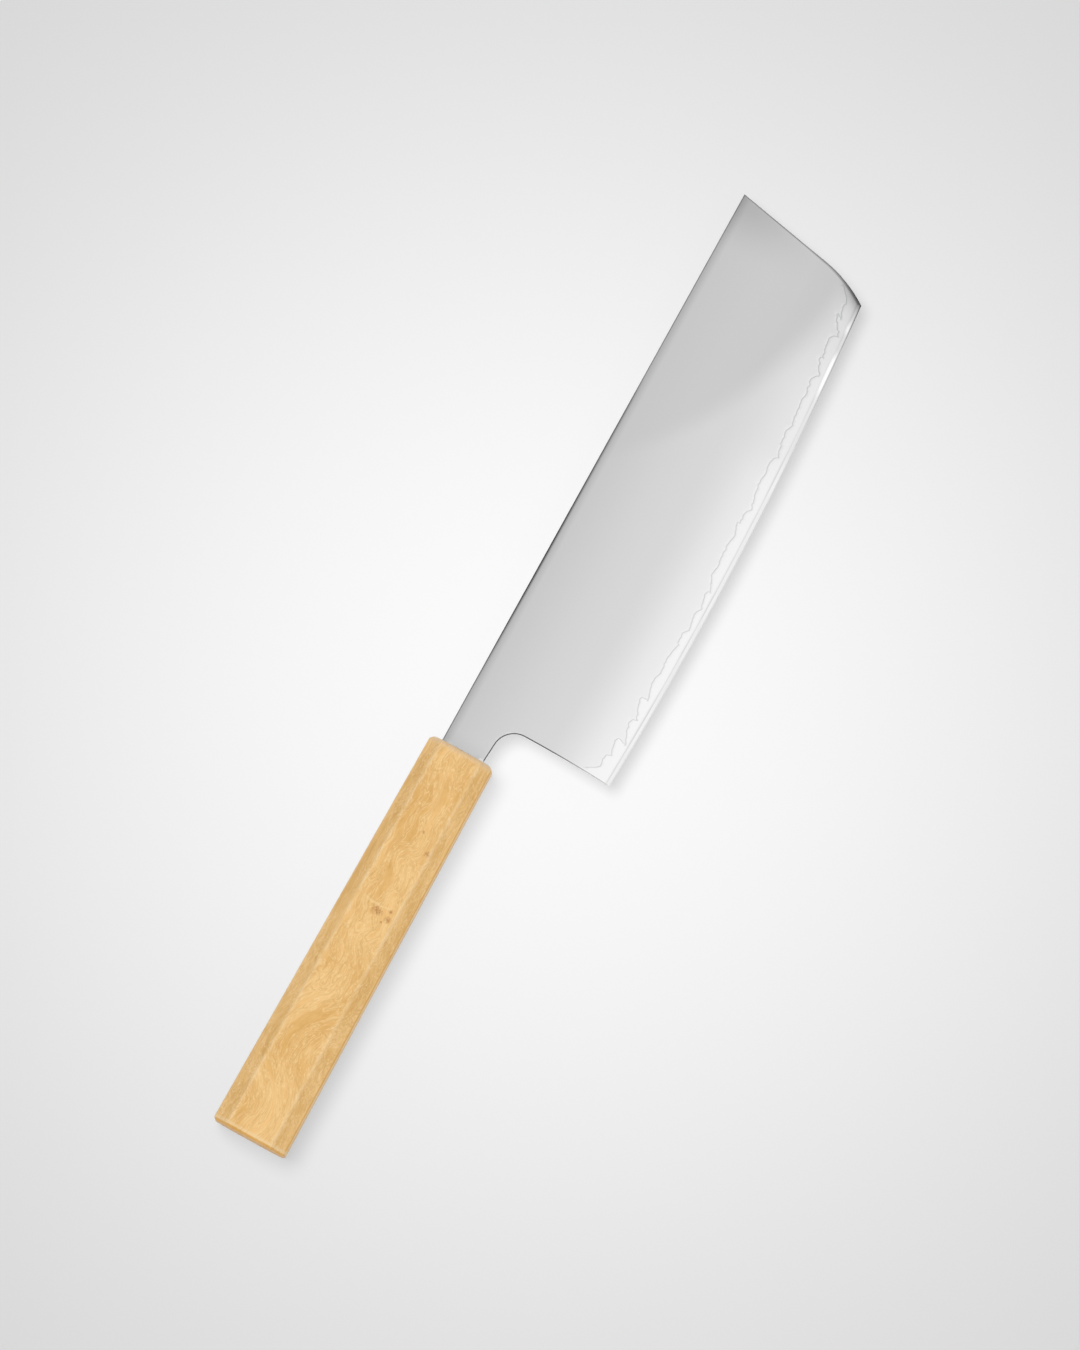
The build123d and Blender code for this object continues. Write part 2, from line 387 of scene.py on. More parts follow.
def heel_and_choil():
    """From the heel's corner up, round the choil, and back along the neck to the handle."""
    corner = Vector((heel_x, edge_y(heel_x)))
    choil_corner = Vector((heel_x + heel_lean, neck_bottom_y - neck_growth))
    neck_end = Vector((0, neck_bottom_y))
    down = (corner - choil_corner).normalized()
    back = (neck_end - choil_corner).normalized()
    half_angle = down.angle(back) / 2
    reach = choil_radius / math.tan(half_angle)
    centre = choil_corner + (down + back).normalized() * choil_radius / math.sin(half_angle)
    heel_top = choil_corner + down * reach
    neck_start = choil_corner + back * reach
    heel = line_points(corner, heel_top)
    for number, point in enumerate(heel):
        share = number / len(heel)
        point.x += 4 * heel_bow * share * (1 - share)
    first = math.atan2(heel_top.y - centre.y, heel_top.x - centre.x)
    last = math.atan2(neck_start.y - centre.y, neck_start.x - centre.x)
    choil = arc_points(centre, choil_radius, first, last)
    return heel + choil + line_points(neck_start, neck_end) + [neck_end]


tip = tip_front()
heel = heel_and_choil()
print("the outline's tip has", len(tip), "points, and the heel and choil", len(heel))

# %% [markdown]
# ## From outline to solid layers
# Each layer is a closed shell between two height maps. Its plan is filled with evenly spread triangles
# by a constrained Delaunay triangulation, so that a polished surface reflects without kinks, and the
# corners of the outline are eased by a few narrow rows of faces. A plain extrusion would be
# quicker, but its sharp corners catch no light, and its long triangles would show in the reflections.

# %% A shell between two height maps
grid_step = 1.1
easing_limit = 0.6              # how deep an eased corner may reach, as a share of the height map
seed_gap_share = 0.55           # how close a filling point may come to a line, as a share of the step
easing_turns = [math.radians(degrees) for degrees in (0, 12, 30, 50, 70, 90)]
least_corner = 0.25             # the sine of the least turn that counts as a corner
least_narrowing = 0.4           # keeps the strip from growing too wide at a sharp turn
corner_share = 1.8              # how much of an eased corner carries its full mark
merge_distance = 0.0005 * millimetre


def closely(points, step):
    """Points all along a line of points, no further apart than step."""
    found = []
    for start, end in zip(points, points[1:]):
        found += line_points(start, end, step)
    return found + [points[-1]]


def tree_of(points):
    """A search tree that finds the nearest of these points."""
    tree = kdtree.KDTree(len(points))
    for number, point in enumerate(points):
        tree.insert((point.x, point.y, 0), number)
    tree.balance()
    return tree


def inward_normals(loop, easings):
    """For each point of a loop that runs anticlockwise, the direction into the shape, as long as it has
    to be for an even strip. Where an eased side meets one that isn't, it runs along the latter."""
    found = []
    for number, point in enumerate(loop):
        following = (number + 1) % len(loop)
        before = (point - loop[number - 1]).normalized()
        after = (loop[following] - point).normalized()
        turn = before.cross(after)
        eased_before, eased_after = easings[number - 1] > 0, easings[following] > 0
        if turn > least_corner and eased_before != eased_after:
            found.append(after / turn if eased_before else -before / turn)
        else:
            middle = (before + after).normalized()
            lengthen = 1 / max(middle.dot(before), least_narrowing)
            found.append(Vector((-middle.y, middle.x)) * lengthen)
    return found


def fill_plan(rim, lines, step):
    """Triangles inside the rim, with the points of the extra lines kept. Gives points and triangles."""
    count = len(rim)
    points = list(rim)
    edges = [(number, (number + 1) % count) for number in range(count)]
    for line in lines:
        first = len(points)
        points += line
        edges += [(first + number, first + number + 1) for number in range(len(line) - 1)]
    tree = tree_of(closely(rim + rim[:1], step / 4) + points[count:])
    low, high = (Vector([pick(axis) for axis in zip(*rim)]) for pick in (min, max))
    row_step = step * math.sqrt(3) / 2
    for row in range(math.ceil((high.y - low.y) / row_step)):
        for column in range(math.ceil((high.x - low.x) / step)):
            point = low + Vector(((column + row % 2 / 2) * step, row * row_step))
            if tree.find((point.x, point.y, 0))[2] > step * seed_gap_share:
                points.append(point)
    result = geometry.delaunay_2d_cdt(points, edges, [], 1, 1e-7)
    sources = [min(old) if old else None for old in result[3]]
    return result[0], result[2], sources


print("a plan is filled with points", grid_step, "mm apart")


# %% Rows and caps of a shell
def new_layer():
    """An empty mesh whose points carry how much they belong to an eased corner."""
    mesh = bmesh.new()
    mesh.verts.layers.float.new("eased")
    return mesh


def eased_row(mesh, rim, normals, easings, height, side, turn):
    """One row of points round the rim, part of the way round its eased corner. Side is 1 at the top."""
    eased = mesh.verts.layers.float["eased"]
    row = []
    for point, normal, easing in zip(rim, normals, easings):
        moved = point + normal * easing * (1 - math.sin(turn))
        inner = point + normal * easing
        level = height(inner.x, inner.y)
        depth = min(easing, easing_limit * abs(level))
        row.append(mesh.verts.new(place(moved.x, moved.y, level - side * depth * (1 - math.cos(turn)))))
        row[-1][eased] = min(1, corner_share * math.sin(2 * turn)) if easing > 0 else 0
    return row


def cap(mesh, row, rim, height, lines, step, outwards):
    """Fills the shape inside a row of points with triangles that follow the height map."""
    points, triangles, sources = fill_plan(rim, lines, step)
    verts = []
    for point, source in zip(points, sources):
        if source is not None and source < len(rim):
            verts.append(row[source])
        else:
            verts.append(mesh.verts.new(place(point.x, point.y, height(point.x, point.y))))
    for triangle in triangles:
        mesh.faces.new([verts[number] for number in triangle][::1 if outwards else -1])


def shell(mesh, rim, easings, top, bottom, lines=(), step=grid_step, ease_bottom=False):
    """Adds a closed shell between two height maps, over the shape inside rim, with eased corners."""
    normals = inward_normals(rim, easings)
    inset_rim = [point + normal * easing for point, normal, easing in zip(rim, normals, easings)]
    rows = [eased_row(mesh, rim, normals, easings, top, 1, turn) for turn in easing_turns]
    if ease_bottom:
        rows += [eased_row(mesh, rim, normals, easings, bottom, -1, turn) for turn in easing_turns[::-1]]
    else:
        rows.append([mesh.verts.new(place(point.x, point.y, bottom(point.x, point.y))) for point in rim])
    for upper, lower in zip(rows, rows[1:]):
        for number in range(len(rim)):
            mesh.faces.new((upper[number - 1], lower[number - 1], lower[number], upper[number]))
    cap(mesh, rows[0], inset_rim, top, lines, step, True)
    under_rim = inset_rim if ease_bottom else rim
    cap(mesh, rows[-1], under_rim, bottom, lines if ease_bottom else (), step, False)


def hand_over(mesh, made, name):
    """Writes a mesh out, and prints its faces, its open edges and its volume."""
    mesh.to_mesh(made)
    open_edges = sum(len(edge.link_faces) != 2 for edge in mesh.edges)
    volume = round(mesh.calc_volume(signed=True) / millimetre ** 3, 1)
    print(name, "has", len(mesh.faces), "faces,", open_edges, "open edges and", volume, "mm3")
    mesh.free()
    return made


def clean_mesh(mesh, name):
    """Merges what coincides, turns the faces outwards and hands the mesh over."""
    bmesh.ops.delete(mesh, geom=[vert for vert in mesh.verts if not vert.link_faces], context="VERTS")
    bmesh.ops.remove_doubles(mesh, verts=mesh.verts, dist=merge_distance)
    bmesh.ops.dissolve_degenerate(mesh, edges=mesh.edges, dist=merge_distance)
    bmesh.ops.recalc_face_normals(mesh, faces=mesh.faces)
    return hand_over(mesh, bpy.data.meshes.new(name), name)


# %% [markdown]
# ## Parting the outline at the seam
# Above the seam lie the two claddings with the core between them. Below it the core is the whole blade.
# Both loops run anticlockwise, and each point carries how much its corner is eased: more at the tip,
# nothing along the seam or the cutting edge, and never more than the steel there is thick.

# %% The loops above and below the seam
groove_reach = 0.2              # from the seam to the row of points beside it
seam_end_gap = 2.2              # from the seam's ends to the next point
inner_step = 4.0                # between points on the tang, which nobody sees


def meeting(outline, line):
    """Where a line first crosses an outline: the points before it on both, by number, and the point."""
    for number, (start, end) in enumerate(zip(outline, outline[1:])):
        for other, (first, last) in enumerate(zip(line, line[1:])):
            found = geometry.intersect_line_line_2d(start, end, first, last)
            if found:
                return number, other, found
    raise ValueError("the seam doesn't reach the outline")


def apart(points, *ends, gap=groove_reach):
    """The points that aren't close to any of the ends."""
    return [point for point in points if all((point - end).length > gap for end in ends)]


heel_number, first_number, seam_start = meeting(heel, whole_seam)
tip_number, last_number, seam_end = meeting(tip, whole_seam)
seam_middle = apart(whole_seam[first_number + 1:last_number + 1], seam_start, seam_end, gap=seam_end_gap)
seam_line = [seam_start] + seam_middle + [seam_end]
heel_below = apart(heel[1:heel_number + 1], seam_start, gap=seam_end_gap)
heel_above = apart(heel[heel_number + 1:], seam_start)
tip_above = apart(tip[:tip_number + 1], seam_end)
tip_below = apart(tip[tip_number + 1:], seam_end, gap=seam_end_gap)

tang_corners = [
    Vector((0, tang_root_height / 2)),
    Vector((-tang_length, tang_end_height / 2)),
    Vector((-tang_length, -tang_end_height / 2)),
    Vector((0, -tang_root_height / 2)),
]
tang = closely(tang_corners, inner_step)
spine = closely([tip[0], Vector((0, spine_y))], outline_step)[1:]
upper_loop = seam_line + tip_above[::-1] + spine + tang + heel_above[::-1]
edge_stations = line_points(heel[0], Vector((tip[-1].x, heel[0].y)))
edge_line = [Vector((point.x, edge_y(point.x))) for point in edge_stations]
lower_loop = edge_line + tip_below[::-1] + seam_line[::-1] + heel_below[::-1]
print("the seam has", len(seam_line), "points; the loops have", len(upper_loop), "and", len(lower_loop))


def easings_for(loop):
    """How much the corner is eased at each point of a loop."""
    on_seam = {id(point) for point in seam_middle}
    on_tip = {id(point) for point in tip + [seam_end]}
    found = []
    for point in loop:
        at_edge = point.y < edge_y(point.x) + bevel_height / 4
        if id(point) in on_seam or at_edge or point.x <= 0:
            found.append(0)
            continue
        down = (spine_y - point.y) / blade_height
        found.append(tip_easing + tip_easing_growth * down if id(point) in on_tip else corner_easing)
    return found


# %% [markdown]
# ## The three layers
# The bevel's upper border is a real crease, so its points are kept as a line in the mesh and its edges
# are marked sharp. The seam is a groove of a few hundredths of a millimetre, as the etch of the
# polishing stones leaves it, and a mesh attribute marks it, so that the steel's material can tint it.

# %% Core and claddings
groove_depth = 0.012
crease_margin = 0.15            # between the crease's ends and the eased corners
clear_share = 0.8               # how much of the groove's reach its row of points keeps clear
bevel_tolerance = 0.01
steel_sharp_angle = math.radians(35)
seam_tree = tree_of(seam_line)
border_tree = tree_of(closely(heel, groove_reach) + closely(tip, groove_reach))


def seam_share(x, y):
    """1 on the seam, falling to 0 at the row of points beside it."""
    distance = seam_tree.find((x, y, 0))[2]
    return max(0, 1 - distance / groove_reach)


def steel_top(x, y):
    """The blade's right side, with the seam's groove."""
    return side_height(x, y) - groove_depth * seam_share(x, y)


def steel_bottom(x, y):
    return -steel_top(x, y)


def core_top(x, y):
    return core_thickness / 2


def core_bottom(x, y):
    return -core_thickness / 2


def beside_seam(side):
    """Single points beside the seam: above it for side 1, and below it for side -1."""
    found = []
    for before, point, after in zip(seam_line, seam_line[1:], seam_line[2:]):
        along = (after - before).normalized()
        moved = point + Vector((-along.y, along.x)) * side * groove_reach
        from_seam, from_border = (tree.find((*moved, 0))[2] for tree in (seam_tree, border_tree))
        if from_seam > clear_share * groove_reach and from_border > 2 * corner_easing + tip_easing_growth:
            found.append([moved])
    return found


def bevel_line():
    """The bevel's upper border, from just inside the heel to just inside the tip."""
    first = heel_x + corner_easing + crease_margin
    tip_point = min(tip, key=lambda point: abs(point.y - edge_y(point.x) - bevel_height))
    last = tip_point.x - tip_easing - tip_easing_growth - crease_margin
    points = line_points(Vector((first, 0)), Vector((last, 0))) + [Vector((last, 0))]
    return [Vector((point.x, edge_y(point.x) + bevel_height)) for point in points]


neck_line = line_points(Vector((0, -tang_root_height / 2)), Vector((0, tang_root_height / 2)))[1:]
upper_easings = easings_for(upper_loop)
lower_easings = easings_for(lower_loop)
bevel = bevel_line()


def finish_steel(made):
    """Shades a layer smoothly, with creases at its corners and along the bevel, and marks the seam."""
    made.shade_smooth()
    places = [(vert.co - front_centre) / millimetre for vert in made.vertices]
    seam = [seam_share(x, y) if x > 0 else 0 for x, y, _ in places]
    made.attributes.new("seam", "FLOAT", "POINT").data.foreach_set("value", seam)
    near = [x > 0 and abs(y - edge_y(x) - bevel_height) < bevel_tolerance for x, y, _ in places]
    mesh = bmesh.new()
    mesh.from_mesh(made)
    for edge in mesh.edges:
        on_bevel = all(near[vert.index] for vert in edge.verts)
        edge.smooth = not on_bevel and edge.calc_face_angle(0) < steel_sharp_angle
    mesh.to_mesh(made)
    mesh.free()
    return made


# %% The layers' meshes
def cladding(name, mirrored):
    """One cladding: the right one, or its mirror image."""
    mesh = new_layer()
    shell(mesh, upper_loop, upper_easings, steel_top, core_top, beside_seam(1) + [neck_line])
    if mirrored:
        for vert in mesh.verts:
            vert.co.z = 2 * front_centre.z - vert.co.z
    return finish_steel(clean_mesh(mesh, name))


def core():
    """The core: the whole blade below the seam, and a thin slab between the claddings."""
    skin, slab = new_layer(), new_layer()
    lines = beside_seam(-1) + [bevel]
    shell(skin, lower_loop, lower_easings, steel_top, steel_bottom, lines, grid_step / 2, True)
    shell(slab, upper_loop, [0] * len(upper_loop), core_top, core_bottom, [], grid_step * 4)
    joined = bmesh.new()
    for mesh, name in ((skin, "core_skin"), (slab, "core_slab")):
        joined.from_mesh(clean_mesh(mesh, name))
    return finish_steel(hand_over(joined, bpy.data.meshes.new("core"), "the core"))


cladding_right_mesh = cladding("cladding_right_skin", mirrored=False)
cladding_left_mesh = cladding("cladding_left_skin", mirrored=True)
core_mesh = core()


# %% [markdown]
# ## The handle
# A one-piece handle is planed to eight tapering facets, eased at its front end and chamfered at the
# butt. Its shape follows a rule all the way, so Geometry Nodes grow it: rings of an octagon with
# rounded corners, laid in bands one behind the other. The first band closes the butt, and the last one
# goes down the bore to the drill's point, because the real wood is hollow there. Each ring's size is
# worked out from named inputs, so a longer or fatter handle is a matter of typing one number.

# %% Sizes of the handle
handle_sizes = {
    "Length": 128.3,
    "Front height": 20.6,
    "Front thickness": 17.8,
    "Front bevel": 3.65,
    "Butt height": 23.4,
    "Butt thickness": 20.2,
    "Butt bevel": 4.5,
    "Corner radius": 0.7,
    "Front easing": 1.9,
    "Butt chamfer": 0.7,
    "Bore radius": 5.5,
    "Bore depth": 92.0,
    "Bore point": 3.3,
    "Hand wobble": 0.05,
}
points_at_corner = 9            # two beside the rounded corner, and seven on it
points_round = 8 * points_at_corner
wobble_scale = (0.045, 1 / 9, 1 / 9)    # the plane's wobble is slow along the handle
merge_reach = 0.001             # what closes each ring, and joins each band to the next
print("a ring of the handle has", points_round, "points")


# %% A point's place in its ring
def place_in_ring(tree):
    """The ring that a point belongs to, its corner, and its number there, all counted from 0."""
    index = node(tree, "GeometryNodeInputIndex")
    ring = calc("FLOOR", (index + 0.5) / (points_round + 1))
    number = calc("FLOORED_MODULO", index - ring * (points_round + 1), points_round)
    corner = calc("FLOOR", (number + 0.5) / points_at_corner)
    return ring, corner, number - corner * points_at_corner


def octagon_maker(given, corner, within):
    """A function that gives a ring of the rounded octagon, and how much each point is on a corner."""
    eighth = math.pi / 4
    share = calc("MINIMUM", calc("MAXIMUM", (within - 1) / (points_at_corner - 3), 0), 1)
    side_y = calc("LESS_THAN", corner, 3.5) * 2 - 1
    side_z = calc("LESS_THAN", calc("FLOORED_MODULO", corner + 2, 8), 3.5) * 2 - 1
    outer = calc("GREATER_THAN", calc("FLOORED_MODULO", corner + 1, 4), 1.5)
    angle, middle_angle = (corner + share) * eighth, (corner + 0.5) * eighth
    first_one = calc("LESS_THAN", within, 0.5)
    last_one = calc("GREATER_THAN", within, points_at_corner - 1.5)
    radius = given["Corner radius"]
    beside = (last_one - first_one) * radius

    def taper(name, x):
        """A size at x, between its value at the front and at the butt."""
        front = given["Front " + name]
        return front - (given["Butt " + name] - front) * x / given["Length"]

    def octagon(x, inset):
        """The ring at x, drawn in all round by inset."""
        leg, tall, thick = taper("bevel", x), taper("height", x) / 2, taper("thickness", x) / 2
        back = (inset + radius) / math.cos(eighth / 2)
        y = side_y * (tall - leg + outer * leg) - back * calc("SINE", middle_angle)
        z = side_z * (thick - outer * leg) - back * calc("COSINE", middle_angle)
        y += radius * calc("SINE", angle) + beside * calc("COSINE", angle)
        z += radius * calc("COSINE", angle) - beside * calc("SINE", angle)
        return gather(x, y, z)

    return octagon, 1 - (first_one + last_one)


# %% The handle's node tree
def handle_tree():
    """The node tree that grows the handle's skin and bore from its sizes."""
    tree = bpy.data.node_groups.new("planed_handle", "GeometryNodeTree")
    tree.interface.new_socket("Geometry", in_out="OUTPUT", socket_type="NodeSocketGeometry")
    kinds = {"Front centre": "Vector", "Material": "Material"} | dict.fromkeys(handle_sizes, "Float")
    for name, kind in kinds.items():
        tree.interface.new_socket(name, in_out="INPUT", socket_type="NodeSocket" + kind)
    sockets = tree.nodes.new("NodeGroupInput").outputs
    given = {name: Wire(sockets[name]) for name in kinds}
    chamfer, easing, bore = given["Butt chamfer"], given["Front easing"], given["Bore radius"]
    ring, corner, within = place_in_ring(tree)
    octagon, on_corner = octagon_maker(given, corner, within)
    even_angle = (corner + (within + 0.5) / points_at_corner) * (math.pi / 4)
    butt_x = given["Length"] * -1
    skin_length = given["Length"] - (chamfer + easing)
    butt_middle, butt_rim = gather(butt_x, 0, 0), octagon(butt_x, chamfer)

    def circle(x, radius):
        """The ring of the round bore at x."""
        return gather(x, radius * calc("SINE", even_angle), radius * calc("COSINE", even_angle))

    front_rim, bore_mouth = octagon(0, easing), circle(0, bore)

    def front(along):
        """The eased front end: a quarter of an ellipse from the facets to the front rim."""
        turn = along * (math.pi / 2)
        return octagon(easing * (calc("SINE", turn) - 1), easing * (1 - calc("COSINE", turn)))

    def point(along):
        """The drill's point at the bottom of the bore."""
        return circle((along * given["Bore point"] + given["Bore depth"]) * -1, bore * (1 - along))

    bands = (       # the rings of each band, their shape by share of the way along, and how much they are rubbed and painted with a highlight
        (4, lambda along: blend(along, butt_middle, butt_rim, kind="VECTOR"), 0),
        (3, lambda along: octagon(along * chamfer + butt_x, chamfer * (1 - along)), 0),
        (56, lambda along: octagon(along * skin_length + (butt_x + chamfer), 0), on_corner),
        (8, front, 0.7),
        (4, lambda along: blend(along, front_rim, bore_mouth, kind="VECTOR"), 0),
        (2, lambda along: circle(along * (given["Bore depth"] * -1), bore), 0),
        (2, point, 0),
    )
    joined = tree.nodes.new("GeometryNodeJoinGeometry")
    for rings, shape, rubbed_and_highlit in bands:
        grid = node(tree, "GeometryNodeMeshGrid", {"Vertices X": rings, "Vertices Y": points_round + 1})
        inputs = {"Geometry": grid, "Position": shape(ring / (rings - 1))}
        inputs = {"Geometry": node(tree, "GeometryNodeSetPosition", inputs), "Name": "rubbed_and_highlit", "Value": rubbed_and_highlit}
        band = node(tree, "GeometryNodeStoreNamedAttribute", inputs, data_type="FLOAT", domain="POINT")
        join(band, joined.inputs[0])
    here = node(tree, "GeometryNodeInputPosition")
    hand = cloud(vector_calc("MULTIPLY", here, wobble_scale), 1.0, detail=1.0, output="Color")
    sway = vector_calc("SCALE", vector_calc("SUBTRACT", hand, (0.5, 0.5, 0.5)), given["Hand wobble"])
    skin = Wire(joined.outputs[0])
    for kind, inputs in (
        ("MergeByDistance", {"Distance": merge_reach}),
        ("SetPosition", {"Offset": sway}),
        ("Transform", {"Scale": (millimetre,) * 3, "Translation": given["Front centre"]}),
        ("SetShadeSmooth", {}),
        ("RealizeInstances", {}),
        ("SetMaterial", {"Material": given["Material"]}),
    ):
        skin = node(tree, "GeometryNode" + kind, {"Geometry": skin} | inputs)
    join(skin, tree.nodes.new("NodeGroupOutput").inputs[0])
    return tree


# %% From node tree to mesh
def grow(name, tree, settings):
    """Runs a node tree with these inputs and keeps the result as a plain mesh object."""
    seedling = put(name, bpy.data.meshes.new(name))
    modifier = seedling.modifiers.new("grow", "NODES")
    modifier.node_group = tree
    for item in tree.interface.items_tree:
        if item.in_out == "INPUT":
            modifier[item.identifier] = settings[item.name]
    graph = bpy.context.evaluated_depsgraph_get()
    grown = bpy.data.meshes.new_from_object(seedling.evaluated_get(graph))
    seedling.modifiers.remove(modifier)
    seedling.data = grown
    return seedling


planed_handle = handle_tree()
print("the handle's node tree has", len(planed_handle.nodes), "nodes")

# %% [markdown]
# ## The wood of the handle
# A pale golden burl: fibres run along the handle and curl round a few knots, with soft light and dark bands
# that follow them, fine curving lines and a cluster of brown pips. Over that lie painted light and shade:
# paler lines along the corners, partly rubbed and partly painted highlight, painted shade along the two low
# corners, and darker and paler bands at the ends. A plain wood texture with straight rings would look like a
# plank. Here the coordinates themselves are twisted round each knot before any pattern is drawn, so fibres
# and bands curl together.

# %% Places in the wood
# Each knot's place along and across the handle, its radius, and how far it turns the fibres
knots = [
    ((-88.0, -9.0), 17.0, 0.75),
    ((-60.5, -1.0), 5.5, 0.75),
    ((-33.0, -0.9), 5.0, 0.9),
    ((-112.0, 6.0), 11.0, -0.8),
    ((-12.0, 2.0), 7.0, -0.3),
]
# Each pip's place and radius
pips = [
    ((-52.6, -0.5), 1.2),
    ((-53.0, -1.8), 0.9),
    ((-53.7, -5.0), 0.9),
    ((-51.2, -4.7), 0.6),
    ((-55.2, -3.6), 0.4),
    ((-26.4, -1.8), 0.45),
    ((-31.4, -5.9), 0.8),
]
scar_x = -50.6                  # a pale streak across the fibres, beside the largest pip
scar_wander = 4.0
scar_top, scar_bottom = 5.0, -5.5
scar_width = 0.45
pip_raggedness = 3.2            # how far the noise pushes a pip's border, in radii
pip_reach = 3.6                 # how far its ramp runs, in radii
pip_strength = 0.8
fine_lengthwise = (0.14, 1.0, 1.0)      # how much slower the fibres change along the handle than across
broad_lengthwise = (0.40, 1.0, 1.0)
sway_reach = 2.5


def curled(where):
    """The coordinates, twisted round every knot and swayed a little in between."""
    for centre, radius, turn in knots:
        angle = bell(flat_distance(where, centre) / radius) * turn
        inputs = {"Vector": where, "Center": (*centre, 0), "Angle": angle}
        where = node(tree_under(where), "ShaderNodeVectorRotate", inputs, rotation_type="Z_AXIS")
    sway = vector_calc("SUBTRACT", cloud(where, 0.07, detail=2.0, output="Color"), (0.5, 0.5, 0.5))
    return vector_calc("ADD", where, vector_calc("SCALE", sway, sway_reach))


print("the wood has", len(knots), "knots and", len(pips), "pips")


# %% Marks in the wood
def pip_mark(where, ragged, centre, radius):
    """How much a point belongs to a pip with a ragged border."""
    grown = ragged * (pip_raggedness * radius) + flat_distance(where, centre)
    return ramp(grown / (pip_reach * radius), (0.45, 1.0), (0.85, 0.0)) * pip_strength


def scar(where, ragged):
    """How much a point belongs to the pale streak across the fibres."""
    x, y, _ = split(where)
    off = calc("ABSOLUTE", (cloud(where, 0.35, detail=1.0) - 0.5) * scar_wander + x - scar_x)
    line = ramp(off / (2 * scar_width), (0.2, 0.7), (1.0, 0.0))
    share = (y - scar_bottom) / (scar_top - scar_bottom)
    within = ramp(share, (0.0, 0.0), (0.25, 1.0), (0.8, 1.0), (1.0, 0.0))
    return line * within * ramp(ragged, (0.35, 0.3), (0.6, 1.0))


def wisps(fibres, ragged, level):
    """How much a point belongs to the figure's thin curving lines, which follow one level of a cloud."""
    stretched = vector_calc("MULTIPLY", fibres, (0.26, 1.0, 1.0))
    figure = cloud(stretched, 0.34, detail=2.5, distortion=0.3)
    line = ramp(calc("ABSOLUTE", figure - level) * 20.0, (0.0, 1.0), (0.9, 0.0))
    return line * ramp(ragged, (0.40, 0.15), (0.62, 1.0))


def flecks(fibres):
    """How much a point belongs to one of the short dark flecks that lie along the fibres."""
    stretched = vector_calc("MULTIPLY", fibres, (0.45, 1.6, 1.6))
    return ramp(cloud(stretched, 0.8, roughness=0.6), (0.66, 0.0), (0.76, 0.45))


# %% Borders of the handle
# Colours of the handle's borders: beside wear and end grain they carry painted highlights and painted shade
rubbed_and_highlight_colour = (0.94, 0.74, 0.45, 1)
front_rub_and_highlight_colour = (0.80, 0.60, 0.40, 1)
end_grain_and_shade_colour = (0.78, 0.38, 0.04, 1)
# the deep orange of the painted shade along the low corners
low_corner_shade_colour = (0.70, 0.34, 0.05, 1)
end_reach = 4.0                 # how far from the butt its tints are told apart
half_growth = (handle_sizes["Front height"] - handle_sizes["Butt height"]) / 2 / handle_sizes["Length"]


def low_corner_shade(where, colour):
    """Painted shade: the two long corners on the edge's side, a deep, darker orange."""
    x, y, _ = split(where)
    out = y / (x * half_growth + handle_sizes["Front height"] / 2) * -1
    line = ramp(out, (0.950, 0.0), (0.968, 0.75), (0.985, 0.75), (1.0, 0.0))
    return blend(line, colour, low_corner_shade_colour)


def end_grain_and_painted_light(where, colour):
    """The butt's end, darker orange, partly end grain that drinks more oil and partly painted shade; pale
    rims at both ends, partly rubbed and partly painted highlight.
    """
    x, _, _ = split(where)
    from_butt = (x + handle_sizes["Length"]) / end_reach
    # Darker butt end: partly end grain, partly painted shade
    colour = blend(ramp(from_butt, (0.10, 0.60), (0.19, 0.0)), colour, end_grain_and_shade_colour)
    # Pale rim at the butt: partly rubbed, partly painted highlight
    rim = ramp(from_butt, (0.16, 0.0), (0.24, 0.4), (0.36, 0.3), (0.50, 0.0))
    colour = blend(rim, colour, rubbed_and_highlight_colour)
    # Paler, greyer front end: partly rubbed, partly painted highlight
    front = ramp(x / -3.0, (0.10, 0.55), (0.75, 0.0))
    return blend(front, colour, front_rub_and_highlight_colour)


# %% The wood's recipe
pip_brown, fleck_brown = (0.46, 0.19, 0.045, 1), (0.56, 0.27, 0.06, 1)
scar_colour = (0.93, 0.68, 0.34, 1)
corner_rub_and_highlight = 0.38              # how pale the long corners are: partly rubbed, partly painted highlight
pale_line, dark_line = (0.98, 0.71, 0.36, 1), (0.62, 0.33, 0.08, 1)
wisp_lines = (      # the cloud's level, how strong the line is, and its colour
    (0.40, 0.62, pale_line), (0.47, 0.62, pale_line), (0.55, 0.62, pale_line),
    (0.435, 0.42, dark_line), (0.51, 0.42, dark_line),
)


def grain(fibres):
    """The wood's ground colour, patches, streaks and threads, and the threads by themselves."""
    fine = vector_calc("MULTIPLY", fibres, fine_lengthwise)
    slow = vector_calc("MULTIPLY", fibres, broad_lengthwise)
    thread = cloud(fine, 4.0, detail=4.0, roughness=0.7)
    broad = cloud(slow, 0.11, roughness=0.55)
    colour = ramp(broad, (0.36, (0.78, 0.452, 0.14)), (0.64, (0.895, 0.56, 0.216)))
    for figure, share, dark, middle, pale in (
        (cloud(slow, 0.5, detail=4.0, roughness=0.6, distortion=0.6), 0.55,
         (0.34, (0.90, 0.87, 0.80)), 0.50, (0.68, (1.04, 1.09, 1.25))),
        (cloud(fine, 0.9, detail=4.0, roughness=0.65), 0.55,
         (0.36, (0.92, 0.87, 0.78)), 0.50, (0.66, (1.04, 1.08, 1.20))),
        (thread, 0.6, (0.36, (0.91, 0.86, 0.78)), 0.52, (0.66, (1.03, 1.06, 1.12))),
    ):
        tint = ramp(figure, dark, (middle, 1.0), pale)
        colour = blend(share, colour, tint, "MULTIPLY")
    return colour, thread


